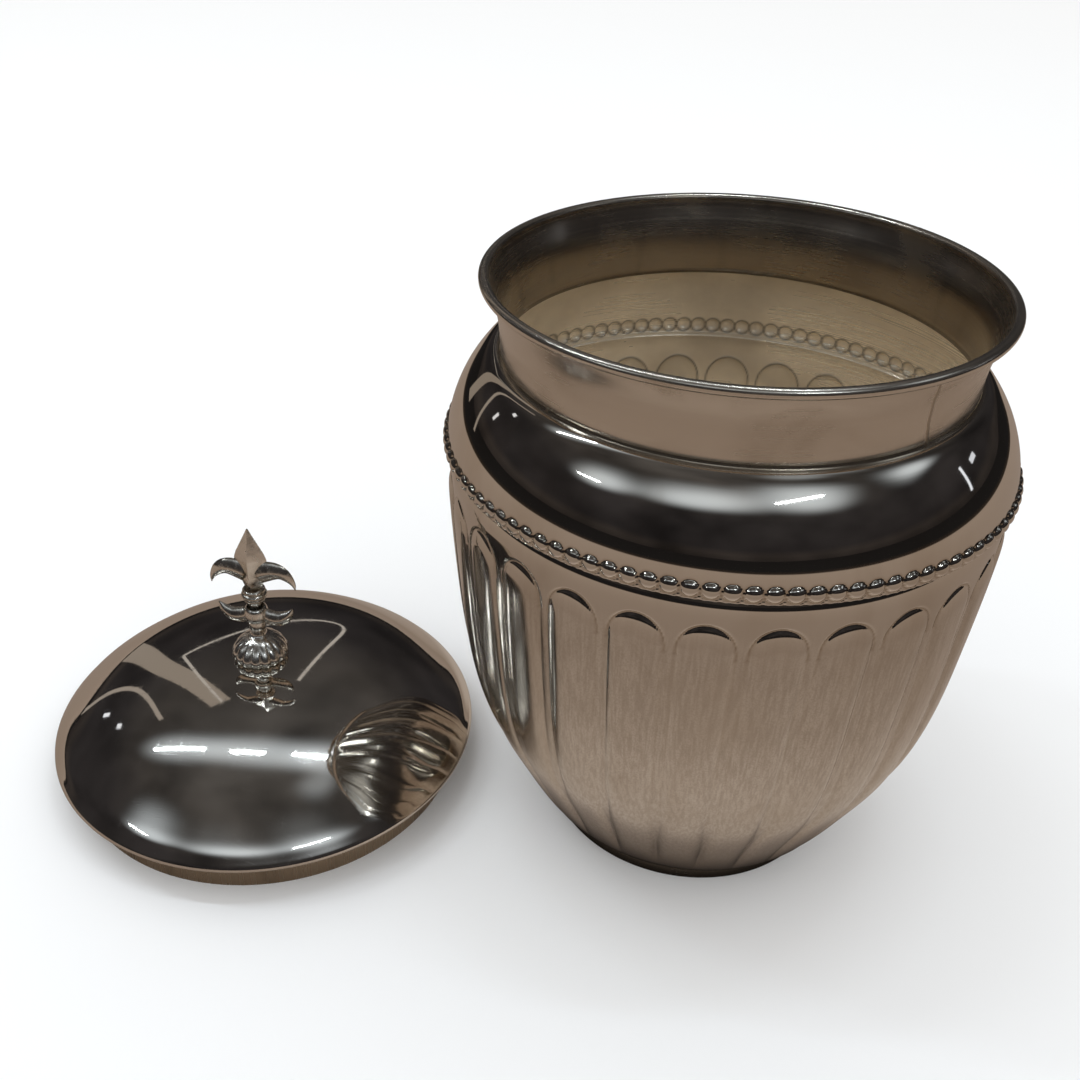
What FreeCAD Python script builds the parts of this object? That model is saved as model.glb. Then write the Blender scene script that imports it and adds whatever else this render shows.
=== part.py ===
"""A lidded jar of thin plated sheet: a gadrooned, beaded body on a ring foot, a rolled rim, and a
domed lid with a fleur-de-lis finial. The jar stands open and its lid lies beside it, finial up.

Millimetres. +Z is up, the origin is the centre of the jar's foot on the surface it stands on,
-Y is the jar's front, and the lid lies on the -X side.
"""
import FreeCAD, Part
import os
from math import cos, sin, pi, radians, sqrt

os.makedirs("parts", exist_ok=True)

# ---------------------------------------------------------------- driving dimensions
SHEET = 0.8                      # thickness of the jar's and the lid's sheet
FIT_GAP = 0.1                    # gap left where two pieces are brazed or fitted face to face

# jar: foot and base
FOOT_RADIUS = 63.0
FOOT_HEIGHT = 7.5
FOOT_BAND = 1.2
FOOT_LIP = 4.0                   # how far the wall's lower edge turns in over the foot ring

# jar: wall
WAIST_HEIGHT = 188.0             # where the wall is widest
WALL_RADIUS = 112.2              # the wall's own radius there, without the beads
WALL_START = (1.2, 0.8)          # direction of the wall where it leaves the foot
WALL_POINTS = [(63.4, FOOT_HEIGHT), (68.0, 10.6), (75.1, 20.0), (85.4, 40.0), (97.0, 65.0),
               (103.7, 90.0), (108.3, 125.0), (111.2, 160.0), (WALL_RADIUS, WAIST_HEIGHT)]
NECK_HOLE = 91.6                 # radius of the opening in the shoulder
NECK_JOINT = 225.9               # height of the crease between shoulder and neck
SHOULDER_POINTS = [(WALL_RADIUS, WAIST_HEIGHT), (110.9, 198.0), (106.5, 210.0), (99.8, 220.2),
                   (NECK_HOLE, NECK_JOINT)]

SHOULDER_END = (-1, 0)           # the shoulder is level where it meets the neck

# jar: gadroons, the raised panels with round heads
PANEL_COUNT = 28
PANEL_PHASE = -88.7              # direction of one panel's middle, degrees from +X
PANEL_RISE = 1.2                 # how far a panel's middle stands out of the valleys
ARCH_SPRING = 164.5              # height where a panel's round head starts
ARCH_CROWN = 176.8               # height of the round head's top
PANEL_FOOT = 11.0                # height where the panels start above the foot
PANEL_FADE = 24.0                # they reach their full rise this much higher
STRIP_TOP = 184.8                # top of the plain strip above the heads
COLUMNS_PER_PANEL = 6
# Heights where rows of the wall surface lie, as (from, to, step): close together at the round heads
WALL_ROWS = [(PANEL_FOOT, 38.0, 9.0), (38.0, 158.0, 30.0), (158.0, STRIP_TOP + 1.6, 2.4)]

# jar: bead band
BEAD_HEIGHT = 191.2
BEAD_HALF_WIDTH = 2.5
BEAD_RISE = 1.3
BEAD_ROWS_TOP = BEAD_HEIGHT + 4.0  # the rows of the surface lie close together up to here
WALL_SAMPLES = 2000              # places that the rows are picked from
SHOULDER_SAMPLES = 400

# jar: neck and rolled rim
RIM_RADIUS = 100.0
RIM_TOP = 257.0
CURL_RADIUS = 2.05               # outside radius of the rolled edge
CURL_END = 225.0                 # direction where the curl stops, degrees round its own middle
NECK_SKIRT = 3.0                 # how far the neck reaches down inside the shoulder
NECK_FLARE_START = 226.4         # the skirt below is straight, and the flare begins here
NECK_INSIDE = [(91.4, 237.0), (93.3, 246.0)]
NECK_OUTSIDE = [(92.2, 236.9), (94.05, 245.7)]
WIRE_CLEARANCE = 0.05

# lid, lying on its flange at this place
LID_X, LID_Y = -203.2, -20.7
FLANGE_RADIUS = 91.4             # goes down inside the neck
FLANGE_HEIGHT = 17.6
BRIM_HEIGHT = 16.0               # underside of the dome's brim above the surface
DOME_RADIUS = 100.0
DOME_APEX = 56.2
DOME_POINTS = [(25.0, 55.0), (50.0, 50.3), (75.0, 38.6), (90.0, 27.2), (97.2, 21.8),
               (DOME_RADIUS, 18.6), (99.2, 16.8), (96.8, BRIM_HEIGHT)]

# finial, heights above the dome's apex
STUD_RADIUS = 2.5
STUD_HOLE = 2.65
STUD_DEPTH = 10.5                # how far the stud reaches below the apex
MOUND_RADIUS = 13.2
MOUND_TOP_RADIUS = 4.0
MOUND_HEIGHT = 11.6
MOUND_POINTS = [(MOUND_RADIUS - 0.9, 0.0), (MOUND_RADIUS, 2.0), (11.6, 6.4), (8.2, 9.6),
                (MOUND_TOP_RADIUS, MOUND_HEIGHT)]
MOUND_HOLLOW = [(STUD_HOLE, 6.0), (7.2, 5.0), (10.2, 0.0)]
MOUND_FLUTES = 16
FLUTE_RADIUS = 0.75
FLUTE_PATH = [(13.0, -0.6), (13.55, 2.0), (12.0, 6.7), (8.4, 10.1), (5.4, 12.1)]
STEM_RADIUS = 3.4
STEM_SWELL = 4.1                 # radius of the swelling below the leaves
STEM_NECK = 2.8
STEM_SWELL_HEIGHT = 17.0
STEM_NECK_HEIGHT = 26.2
STEM_TOP = 31.8
LEAF_FOOT = 18.0                 # lowest point of a leaf
LEAF_TOP = 28.2
LEAF_TIP = (17.9, LEAF_TOP)
LEAF_ABOVE = [(0, LEAF_TOP), (8.0, 27.2), (13.5, 27.0), LEAF_TIP]
LEAF_BELOW = [LEAF_TIP, (15.4, 20.8), (9.2, LEAF_FOOT), (0, 21.0)]
LEAF_THICKNESS = 5.0
HUB_WALL = 1.2                   # thickness of the leaves' hub round the stem
HUB_FOOT = 20.0
BAND_TOP = 38.2
BAND_RINGS = [(STEM_TOP, 1.9, 5.1), (33.7, 2.5, 6.0), (36.2, 2.0, 5.3)]  # height, thickness, radius
SOCKET_DEPTH = 4.0               # how far the stem's pin reaches into the fleur-de-lis
SPEAR_SECTIONS = [(BAND_TOP, 5.0, 4.2), (43.2, 5.7, 4.4), (54.4, 7.7, 4.6), (70.2, 0.5, 0.4)]
PETAL_TIP = (20.1, 39.2)
PETAL_ABOVE = [(0, 53.0), (8.0, 54.5), (15.7, 53.1), (20.3, 47.2), PETAL_TIP]
PETAL_BELOW = [PETAL_TIP, (17.6, 41.7), (12.6, 44.3), (8.0, 43.5), (0, 40.5)]
PETAL_THICKNESS = 5.6
FINIAL_TURN = 2.0                # the fleur-de-lis plane, degrees from +X

# nut and washer under the dome
WASHER_RADIUS = 9.0
WASHER_THICKNESS = 1.0
WASHER_TOP = -SHEET - 0.35       # its rim meets the dome, which falls away from the stud
NUT_ACROSS_FLATS = 8.0
NUT_HEIGHT = 4.0

UP = FreeCAD.Vector(0, 0, 1)


# ---------------------------------------------------------------- helpers
def point(radius, height):
    """A point of a section, in the XZ plane."""
    return FreeCAD.Vector(radius, 0, height)


def spline(points, start=None, end=None):
    """A smooth curve through section points, spaced by their distances, with optional end directions."""
    through = [point(*p) for p in points]
    lengths = [0.0]
    for before, after in zip(through, through[1:]):
        lengths.append(lengths[-1] + (after - before).Length)
    ends = {}
    if start and end:
        ends = {"InitialTangent": point(*start).normalize(), "FinalTangent": point(*end).normalize(),
                "Scale": False}
    curve = Part.BSplineCurve()
    curve.interpolate(Points=through, Parameters=lengths, **ends)
    return curve


def sample(curve, count):
    """Evenly spaced parameters of a curve, with the place and the left-hand normal at each."""
    rows = []
    for step in range(count):
        t = curve.FirstParameter + (curve.LastParameter - curve.FirstParameter) * step / (count - 1)
        place = curve.value(t)
        along = curve.tangent(t)[0]
        rows.append((place, point(-along.z, along.x)))
    return rows


def offset_curve(curve, distance, count=40):
    """The same curve moved to its left by a distance."""
    moved = Part.BSplineCurve()
    moved.interpolate([place + normal * distance for place, normal in sample(curve, count)])
    return moved


def turned(edges):
    """The solid of revolution of a closed section."""
    section = Part.Face(Part.Wire(edges))
    return section.revolve(FreeCAD.Vector(0, 0, 0), UP, 360)


def polygon_section(points):
    """Straight edges round a closed section."""
    corners = [point(*p) for p in points]
    return Part.makePolygon(corners + corners[:1]).Edges


def ring(inner, outer, bottom, top):
    """A plain tube or washer."""
    body = Part.makeCylinder(outer, top - bottom, point(0, bottom), UP)
    return body.cut(Part.makeCylinder(inner, top - bottom, point(0, bottom), UP))


def to_lid(shape):
    """Moves a shape from the lid's own axis to where the lid lies."""
    moved = shape.copy()
    moved.translate(FreeCAD.Vector(LID_X, LID_Y, 0))
    return moved


def to_finial(shape):
    """Moves a shape whose zero height is the dome's apex onto the lid."""
    moved = shape.copy()
    moved.rotate(FreeCAD.Vector(0, 0, 0), UP, FINIAL_TURN)
    moved.translate(FreeCAD.Vector(LID_X, LID_Y, DOME_APEX))
    return moved


def save(name, shape):
    shape.exportStep("parts/" + name + ".step")
    print(name, "valid", shape.isValid(), "solids", len(shape.Solids), "volume", round(shape.Volume, 1))


# ---------------------------------------------------------------- jar
def panel_crown(angle, height):
    """1 along a panel's middle, 0 in the valleys and outside the round heads."""
    if height >= ARCH_CROWN:
        return 0.0
    pitch = 360.0 / PANEL_COUNT
    off = abs((angle - PANEL_PHASE + pitch / 2) % pitch - pitch / 2)
    half = pitch / 2
    if height > ARCH_SPRING:
        half *= sqrt(1 - ((height - ARCH_SPRING) / (ARCH_CROWN - ARCH_SPRING)) ** 2)
    return (1 + cos(pi * off / half)) / 2 if off < half else 0.0


def wall_relief(angle, height):
    """How far the wall stands out of its plain curve: valleys are below it, beads above."""
    bead = (height - BEAD_HEIGHT) / BEAD_HALF_WIDTH
    if abs(bead) < 1:
        return BEAD_RISE * sqrt(1 - bead * bead)
    if height > STRIP_TOP:
        return 0.0
    fade = min(1.0, max(0.0, (height - PANEL_FOOT) / PANEL_FADE))
    return -PANEL_RISE * fade * (1 - panel_crown(angle, height))


def wall_rows():
    """Places and outward normals up the wall: close together at the heads and the beads."""
    wall = spline(WALL_POINTS, start=WALL_START, end=(0, 1))
    shoulder = spline(SHOULDER_POINTS, start=(0, 1), end=SHOULDER_END)
    rows = []
    places = sample(wall, WALL_SAMPLES)
    for low, high, step in WALL_ROWS:
        for level in range(int(round((high - low) / step))):
            height = low + level * step
            rows.append(min(places, key=lambda row: abs(row[0].z - height)))
    rows.insert(0, places[0])
    close, apart = 10, 40
    places = sample(shoulder, SHOULDER_SAMPLES)
    rows += [row for row in places[2::close] if row[0].z < BEAD_ROWS_TOP]
    rows += [row for row in places[::apart] if row[0].z >= BEAD_ROWS_TOP]
    rows.append(sample(shoulder, 2)[-1])
    return rows


def wall_skin(rows, depth, around):
    """A closed-round spline surface that follows the relief, moved inward by a depth."""
    poles = []
    for step in range(around):
        angle = 360.0 * step / around
        line = []
        for place, normal in rows:
            out = wall_relief(angle, place.z) - depth
            radius = place.x - normal.x * out
            height = place.z - normal.z * out
            line.append(FreeCAD.Vector(radius * cos(radians(angle)), radius * sin(radians(angle)), height))
        poles.append(line)
    up_count = len(rows) - 3
    surface = Part.BSplineSurface()
    surface.buildFromPolesMultsKnots(
        poles, [1] * (around + 1), [4] + [1] * (up_count - 1) + [4],
        [float(k) for k in range(around + 1)], [float(k) for k in range(up_count + 1)],
        True, False, 3, 3)
    return surface.toShape()


def end_edges(face):
    """The lower and the upper round edge of a wall skin."""
    rounds = [edge for edge in face.Edges if edge.isClosed()]
    rounds.sort(key=lambda edge: edge.CenterOfMass.z)
    return rounds[0], rounds[-1]


def make_body_wall():
    """Shoulder, bead band and gadrooned wall: one embossed sheet."""
    rows = wall_rows()
    around = PANEL_COUNT * COLUMNS_PER_PANEL
    outside = wall_skin(rows, 0.0, around)
    inside = wall_skin(rows, SHEET, around)
    lower_outside, upper_outside = end_edges(outside)
    lower_inside, upper_inside = end_edges(inside)
    lower = Part.makeRuledSurface(lower_outside, lower_inside)
    upper = Part.makeRuledSurface(upper_outside, upper_inside)
    shell = Part.makeShell([outside, inside] + lower.Faces + upper.Faces)
    shell.sewShape()
    wall = Part.makeSolid(Part.makeShell(shell.Faces))
    if wall.Volume < 0:
        wall.reverse()
    return wall


def make_neck_collar():
    """The flared neck strip, its top edge curled outward over a wire."""
    middle = (RIM_RADIUS - CURL_RADIUS, RIM_TOP - CURL_RADIUS)
    inner_curl = CURL_RADIUS - SHEET
    skirt_radius = NECK_HOLE - FIT_GAP - SHEET
    skirt_foot = NECK_JOINT - NECK_SKIRT
    top = (middle[0] - CURL_RADIUS, middle[1])
    flare_end = (0.1, 1)
    inside = spline([(skirt_radius, NECK_FLARE_START)] + NECK_INSIDE + [top], start=(0, 1), end=flare_end)
    outside = spline([(skirt_radius + SHEET, NECK_FLARE_START)] + NECK_OUTSIDE + [(top[0] + SHEET, top[1])],
                     start=(0, 1), end=flare_end)

    start, halfway, stop = 180, 25, CURL_END - 360

    def on_curl(radius, direction):
        turn = radians(direction)
        return point(middle[0] + radius * cos(turn), middle[1] + radius * sin(turn))

    over = Part.Arc(on_curl(CURL_RADIUS, start), on_curl(CURL_RADIUS, halfway), on_curl(CURL_RADIUS, stop))
    under = Part.Arc(on_curl(inner_curl, stop), on_curl(inner_curl, halfway), on_curl(inner_curl, start))
    edges = [
        Part.makeLine(point(skirt_radius, skirt_foot), point(skirt_radius, NECK_FLARE_START)),
        inside.toShape(), over.toShape(),
        Part.makeLine(on_curl(CURL_RADIUS, stop), on_curl(inner_curl, stop)),
        under.toShape(), outside.toShape(),
        Part.makeLine(point(skirt_radius + SHEET, NECK_FLARE_START), point(skirt_radius + SHEET, skirt_foot)),
        Part.makeLine(point(skirt_radius + SHEET, skirt_foot), point(skirt_radius, skirt_foot))]
    return turned(Part.__sortEdges__(edges))


def make_rim_wire():
    wire_radius = CURL_RADIUS - SHEET - WIRE_CLEARANCE
    return Part.makeTorus(RIM_RADIUS - CURL_RADIUS, wire_radius, point(0, RIM_TOP - CURL_RADIUS), UP)


def make_foot_ring():
    """A plain band with a narrow inner ledge that carries the base disc."""
    inner = FOOT_RADIUS - FOOT_BAND
    ledge = FOOT_HEIGHT - 2 * SHEET
    return turned(polygon_section([
        (inner, 0), (FOOT_RADIUS, 0), (FOOT_RADIUS, FOOT_HEIGHT), (inner, FOOT_HEIGHT),
        (inner, ledge), (inner - FOOT_LIP, ledge), (inner - FOOT_LIP, ledge - SHEET),
        (inner, ledge - SHEET)]))


def make_base_disc():
    """The jar's floor, brazed onto the foot ring's ledge, with its edge turned up to the wall."""
    inner = FOOT_RADIUS - FOOT_BAND - FIT_GAP
    floor = FOOT_HEIGHT - 2 * SHEET
    return turned(polygon_section([
        (0, floor), (inner, floor), (inner, FOOT_HEIGHT), (inner - SHEET, FOOT_HEIGHT),
        (inner - SHEET, floor + SHEET), (0, floor + SHEET)]))


# ---------------------------------------------------------------- lid
def make_lid_dome():
    """The dome, its rounded edge and the brim that turns in under it."""
    outline = spline([(STUD_HOLE, DOME_APEX)] + DOME_POINTS, start=(1, 0), end=(-1, 0))
    inner = offset_curve(outline, -SHEET, 90)
    brim_end = FLANGE_RADIUS + FIT_GAP
    outer_low = outline.value(outline.LastParameter)
    inner_low = inner.value(inner.LastParameter)
    outer_top = outline.value(outline.FirstParameter)
    inner_top = inner.value(inner.FirstParameter)
    edges = [outline.toShape(), Part.makeLine(outer_low, point(brim_end, outer_low.z)),
             Part.makeLine(point(brim_end, outer_low.z), point(brim_end, inner_low.z)),
             Part.makeLine(point(brim_end, inner_low.z), inner_low), inner.toShape(),
             Part.makeLine(inner_top, outer_top)]
    return turned(Part.__sortEdges__(edges))


def make_lid_flange():
    return ring(FLANGE_RADIUS - SHEET, FLANGE_RADIUS, 0, FLANGE_HEIGHT)


# ---------------------------------------------------------------- finial
def make_finial_mound():
    """A hollow gadrooned cap that sits on the dome and carries the stem."""
    inside = [(STUD_HOLE, MOUND_HEIGHT)] + MOUND_HOLLOW + MOUND_POINTS[:1]
    edges = [spline(MOUND_POINTS).toShape(), Part.makeLine(point(*MOUND_POINTS[-1]), point(*inside[0]))]
    edges += [Part.makeLine(point(*before), point(*after)) for before, after in zip(inside, inside[1:])]
    mound = turned(Part.__sortEdges__(edges))
    path = spline(FLUTE_PATH).toShape()
    start = path.FirstParameter
    profile = Part.Wire(Part.Circle(path.valueAt(start), path.tangentAt(start), FLUTE_RADIUS).toShape())
    flute = Part.Wire(path).makePipeShell([profile], True, False)
    for step in range(MOUND_FLUTES):
        cutter = flute.copy()
        cutter.rotate(FreeCAD.Vector(0, 0, 0), UP, 360.0 * (step + 0.5) / MOUND_FLUTES)
        mound = mound.cut(cutter)
    return mound


def make_finial_stem():
    """A turned stem between a stud, which goes down through the mound and the dome, and a pin above it."""
    side = [(STEM_RADIUS, MOUND_HEIGHT), (STEM_SWELL, STEM_SWELL_HEIGHT), (STEM_NECK, STEM_NECK_HEIGHT),
            (STEM_RADIUS, STEM_TOP)]
    pin_top = BAND_TOP + SOCKET_DEPTH
    corners = [side[-1], (STUD_RADIUS, STEM_TOP), (STUD_RADIUS, pin_top), (0, pin_top), (0, -STUD_DEPTH),
               (STUD_RADIUS, -STUD_DEPTH), (STUD_RADIUS, MOUND_HEIGHT), side[0]]
    edges = [Part.makeLine(point(*before), point(*after)) for before, after in zip(corners, corners[1:])]
    return turned(Part.__sortEdges__(edges + [spline(side).toShape()]))


def flat_blade(above, below, thickness):
    """A closed outline in the XZ plane, mirrored about the axis and given a thickness across it."""
    root = Part.makeLine(point(*above[0]), point(*below[-1]))
    face = Part.Face(Part.Wire(Part.__sortEdges__([spline(above).toShape(), spline(below).toShape(), root])))
    blade = face.extrude(FreeCAD.Vector(0, thickness, 0))
    blade.translate(FreeCAD.Vector(0, -thickness / 2, 0))
    return blade.fuse(blade.mirror(FreeCAD.Vector(0, 0, 0), FreeCAD.Vector(1, 0, 0)))


def make_leaf_pair():
    """Two small pointed leaves that curl up from a hub on the stem."""
    blades = flat_blade(LEAF_ABOVE, LEAF_BELOW, LEAF_THICKNESS)
    hub = Part.makeCylinder(STEM_SWELL + HUB_WALL, LEAF_TOP - HUB_FOOT, point(0, HUB_FOOT), UP)
    bore = Part.makeCylinder(STEM_SWELL + FIT_GAP, LEAF_TOP, point(0, MOUND_HEIGHT), UP)
    return blades.fuse(hub).removeSplitter().cut(bore)


def make_collar_band():
    """Three stacked rings between the leaves and the fleur-de-lis."""
    bore = STUD_RADIUS + FIT_GAP
    band = None
    for low, height, radius in BAND_RINGS:
        half = height / 2
        flank = radius - half
        bulge = Part.Arc(point(flank, low), point(radius, low + half), point(flank, low + height))
        corners = [(flank, low + height), (bore, low + height), (bore, low), (flank, low)]
        lines = [Part.makeLine(point(*before), point(*after)) for before, after in zip(corners, corners[1:])]
        level = turned(Part.__sortEdges__([bulge.toShape()] + lines))
        band = level if band is None else band.fuse(level)
    return band.removeSplitter()


def rhombus(height, half_width, half_depth):
    """A four-sided section of the spear, its corners on X and Y."""
    corners = [FreeCAD.Vector(half_width, 0, height), FreeCAD.Vector(0, half_depth, height),
               FreeCAD.Vector(-half_width, 0, height), FreeCAD.Vector(0, -half_depth, height)]
    return Part.makePolygon(corners + corners[:1])


def make_fleur_de_lis():
    """The four-sided spear and the two side petals that curl out and down."""
    spear = Part.makeLoft([rhombus(*section) for section in SPEAR_SECTIONS], True, True)
    petals = flat_blade(PETAL_ABOVE, PETAL_BELOW, PETAL_THICKNESS)
    socket = Part.makeCylinder(STUD_RADIUS + FIT_GAP, SOCKET_DEPTH + FIT_GAP, point(0, BAND_TOP), UP)
    return spear.fuse(petals).removeSplitter().cut(socket)


def make_finial_washer():
    return ring(STUD_HOLE, WASHER_RADIUS, WASHER_TOP - WASHER_THICKNESS, WASHER_TOP)


def make_finial_nut():
    foot = WASHER_TOP - WASHER_THICKNESS - NUT_HEIGHT
    corner = NUT_ACROSS_FLATS / 2 / cos(pi / 6)
    corners = [FreeCAD.Vector(corner * cos(radians(60 * k)), corner * sin(radians(60 * k)), foot)
               for k in range(7)]
    nut = Part.Face(Part.makePolygon(corners)).extrude(FreeCAD.Vector(0, 0, NUT_HEIGHT))
    return nut.cut(Part.makeCylinder(STUD_RADIUS + FIT_GAP, NUT_HEIGHT, point(0, foot), UP))


# ---------------------------------------------------------------- build
save("body_wall", make_body_wall())
save("neck_collar", make_neck_collar())
save("rim_wire", make_rim_wire())
save("foot_ring", make_foot_ring())
save("base_disc", make_base_disc())
save("lid_dome", to_lid(make_lid_dome()))
save("lid_flange", to_lid(make_lid_flange()))
save("finial_mound", to_finial(make_finial_mound()))
save("finial_stem", to_finial(make_finial_stem()))
save("leaf_pair", to_finial(make_leaf_pair()))
save("collar_band", to_finial(make_collar_band()))
save("fleur_de_lis", to_finial(make_fleur_de_lis()))
save("finial_washer", to_finial(make_finial_washer()))
save("finial_nut", to_finial(make_finial_nut()))
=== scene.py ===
"""The looks of a lidded jar of thin plated sheet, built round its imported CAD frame.

The jar stands open, its domed lid with a fleur-de-lis finial lies beside it. Shapes are in
millimetres, measured from the jar's or the lid's own axis, and become metres in make_object().
"""

import math
import bpy
import numpy as np
from mathutils import Matrix, Vector


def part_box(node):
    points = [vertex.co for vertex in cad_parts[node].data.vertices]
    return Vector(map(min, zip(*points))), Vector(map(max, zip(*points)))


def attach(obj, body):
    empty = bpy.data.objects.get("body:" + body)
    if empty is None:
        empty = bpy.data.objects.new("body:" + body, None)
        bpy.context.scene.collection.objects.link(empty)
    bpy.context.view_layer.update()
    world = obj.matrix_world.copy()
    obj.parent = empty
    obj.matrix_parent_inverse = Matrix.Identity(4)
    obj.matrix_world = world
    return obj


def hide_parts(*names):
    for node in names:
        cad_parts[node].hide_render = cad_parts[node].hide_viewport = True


MM = 0.001

# ---- sizes
# The main sizes are the CAD part's. The ornament (panels, arches, beads, the dome's edge and the finial's
# blades) has more detail here and differs from it by a few millimetres.
SHEET = 0.8
FIT_GAP = 0.1
FOOT_RADIUS = 63.0
FOOT_HEIGHT = 7.5
FOOT_BAND = 1.2
FOOT_LIP = 4.0

WAIST_HEIGHT = 188.0
WALL_RADIUS = 112.2
WALL_START = (1.2, 0.8)
WALL_POINTS = [(63.4, FOOT_HEIGHT), (68.0, 10.6), (75.1, 20.0), (85.4, 40.0), (97.0, 65.0),
               (103.7, 90.0), (108.3, 125.0), (111.2, 160.0), (WALL_RADIUS, WAIST_HEIGHT)]
NECK_HOLE = 91.6
NECK_JOINT = 225.9
SHOULDER_POINTS = [(WALL_RADIUS, WAIST_HEIGHT), (110.9, 198.0), (106.5, 210.0), (99.8, 220.2),
                   (NECK_HOLE, NECK_JOINT)]
SHOULDER_END = (-1, 0)

PANEL_COUNT = 28
PANEL_PHASE = -88.7  # degrees, where one panel's middle is
PANEL_COLUMNS = 36  # of the mesh, to each panel
PANEL_DROP = 1.2  # the valleys lie this far inside the wall's curve
PANEL_RISE = 1.45  # a panel's middle stands this far out of them
PANEL_EDGE = 4  # how tightly a panel rounds off at its edge
PANEL_HALF = 5.15  # degrees, above the widening
PANEL_HALF_LOW = 6.2  # degrees, near the foot, where the valleys close up
PANEL_WIDENING = (38.0, 70.0)  # heights between which the two widths blend
PANEL_FADE = (11.0, 34.0)  # heights between which the relief rises out of the plain foot
ARCH_SPRING = 161.5  # where a panel's round head starts
ARCH_CROWN = 172.8
GROOVE_DEPTH = 0.1  # beside the panels
GROOVE_HEAD = 0.34  # added to it round their heads
HEAD_FOOT = 2.0  # the deeper line stops this far under the spring
HEAD_FADE = 0.8
GROOVE_PLACE = 0.45  # outside a panel's edge
GROOVE_WIDTH = 0.42
GROOVE_FADE = (40.0, 90.0)
STRIP_TOP = 184.8  # the plain strip over the panels ends at a small step
STRIP_STEP = (0.4, 0.2)  # which reaches this far below and above
COVE_FOOT = 176.6  # the strip curves inwards from here to the step
COVE_DEPTH = 1.8

BEAD_COUNT = 101
BEAD_HEIGHT = 188.9
BEAD_HALF = (3.15, 2.95)  # round the jar and up
BEAD_RISE = 1.75
TICK_RISE = 0.35  # of the small tick between two beads
TICK_HALF = (0.45, 0.8)  # round the jar and up
SCALLOP_RADIUS = 4.4  # of the thin line under each bead
SCALLOP_RISE = 0.3
SCALLOP_WIDTH = 0.36
SCALLOP_END = (-1.0, 0.2)  # heights over a bead's middle between which it fades out
SHADE_GAP = 0.2  # the tarnished line round a bead: outside its edge, and its width
SHADE_WIDTH = 0.55
GROOVE_SHADE, HEAD_SHADE, BEAD_SHADE = 0.25, 0.75, 0.9  # how tarnished each hollow is

# rows of the wall's mesh: above this height, distance between rows
PLAIN_ROWS = [(-1.0, 1.4), (40.0, 2.6)]
HEAD_ROWS_FROM = 158.0
BEAD_ROWS_FROM = STRIP_TOP - 1.5
SHOULDER_ROWS = (194.5, 1.5)
OUTER_ROWS = (0.45, 0.32)  # at the round heads and at the beads
INNER_ROWS = (0.5, 0.45)

RIM_RADIUS = 100.0
RIM_TOP = 257.0
CURL_RADIUS = 2.05
CURL_END = 225.0  # degrees, where the rolled edge stops
NECK_SKIRT = 3.0
NECK_FLARE_START = 226.4
NECK_INSIDE = [(91.4, 237.0), (93.3, 246.0)]
NECK_OUTSIDE = [(92.2, 236.9), (94.05, 245.7)]
NECK_INSIDE_REACH = 96.6  # what lies within this radius can be inside metal

FLANGE_RADIUS = 91.4
FLANGE_HEIGHT = 17.6
DOME_RADIUS = 100.0
DOME_APEX = 56.2
STUD_HOLE = 2.65
DOME_POINTS = [(STUD_HOLE, DOME_APEX), (25.0, 55.0), (50.0, 50.3), (75.0, 39.6), (90.0, 28.6),
               (95.5, 23.8), (98.8, 20.1), (DOME_RADIUS, 17.9), (99.2, 16.6), (96.8, 16.0)]
DOME_EDGE = 5.0  # width of the rounded edge, which is polished all round

# finial, heights above the dome's apex
MOUND_POINTS = [(12.3, 0.0), (13.2, 2.0), (11.6, 6.4), (8.2, 9.6), (4.0, 11.6)]
MOUND_HOLLOW = [(STUD_HOLE, 11.6), (STUD_HOLE, 6.0), (7.2, 5.0), (10.2, 0.0)]
MOUND_LOBES = 16
MOUND_FLUTE = 1.5  # depth between two lobes
MOUND_FLUTE_TOP = (11.7, 8.0)  # heights between which it fades in
STEM_FOOT = 11.4
STEM_TOP = 31.8
STEM_POINTS = [(5.0, STEM_FOOT), (3.5, 12.6), (3.6, 14.2), (4.1, 17.0), (3.6, 21.0), (2.8, 26.2),
               (3.4, STEM_TOP)]
STUD_RADIUS = 2.5
STUD_FOOT = -10.5
PIN_TOP = 42.2  # the stem's pin goes up into the fleur-de-lis
AXIS_GAP = 0.01  # keeps a section that ends on its axis open
LEAF_SPINE = [(3.2, 24.2), (7.5, 22.0), (12.0, 22.3), (15.4, 24.8), (17.8, 28.2)]
LEAF_HALF = [3.4, 4.3, 4.1, 2.7, 0.4]
LEAF_DEPTH = [2.6, 2.9, 2.8, 2.0, 0.3]
HUB_POINTS = [(4.2, 20.4), (5.0, 20.8), (5.6, 22.5), (5.5, 25.0), (4.8, 27.4), (4.2, 28.0)]
HUB_BORE = (4.15, 24.0)
BAND_RINGS = [(32.75, 0.95, 5.1), (34.95, 1.25, 6.0), (37.2, 1.0, 5.3)]  # middle, half height, radius
BAND_BORE = 2.65
BAND_TOP = 38.2
SPEAR_SECTIONS = [(38.0, 3.8, 3.4), (40.0, 4.6, 3.9), (43.2, 5.6, 4.3), (48.0, 6.7, 4.5),
                  (52.5, 7.6, 4.6), (54.4, 7.7, 4.6), (57.5, 6.7, 4.1), (62.0, 4.4, 2.8),
                  (66.5, 2.1, 1.4), (70.1, 0.35, 0.3)]  # height, half width, half depth
SPEAR_STEP = 0.6
SPEAR_TIP = 0.2  # above the last section
FACET_HOLLOW = 0.10  # the spear's facets are slightly hollow
FACET_PARTS = 6
PETAL_SPINE = [(3.0, 46.5), (8.0, 48.4), (13.2, 48.3), (17.4, 45.2), (19.6, 41.4), (20.0, 39.3)]
PETAL_HALF = [5.4, 5.3, 4.6, 3.3, 1.7, 0.25]
PETAL_DEPTH = [3.0, 2.9, 2.6, 2.0, 1.2, 0.3]
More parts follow.
